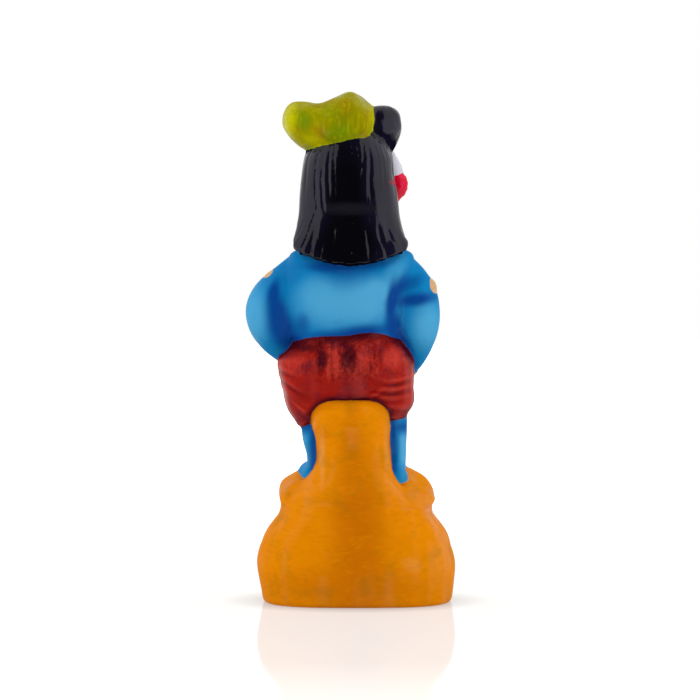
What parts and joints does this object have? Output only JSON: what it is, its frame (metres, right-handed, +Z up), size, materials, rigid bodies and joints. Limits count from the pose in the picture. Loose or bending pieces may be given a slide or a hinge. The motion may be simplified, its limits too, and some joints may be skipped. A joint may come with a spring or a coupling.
{
  "type": "clay krishna figurine",
  "caption": "Painted clay figurine standing with hands on hips in a soft cap, long hair and a draped dhoti, moulded in one piece with its mound base; it rests on a flat underside.",
  "frame": {"origin": "middle of the flat underside of the mound", "axes": "+Z up, from the mound to the cap; the figure faces -Y, and its left side is +X"},
  "size_m": [0.0821, 0.0628, 0.1983],
  "materials": {
    "painted_clay": "gloss"
  },
  "bodies": {
    "root": {"krishna_figurine": "painted_clay"}
  },
  "joints": []
}
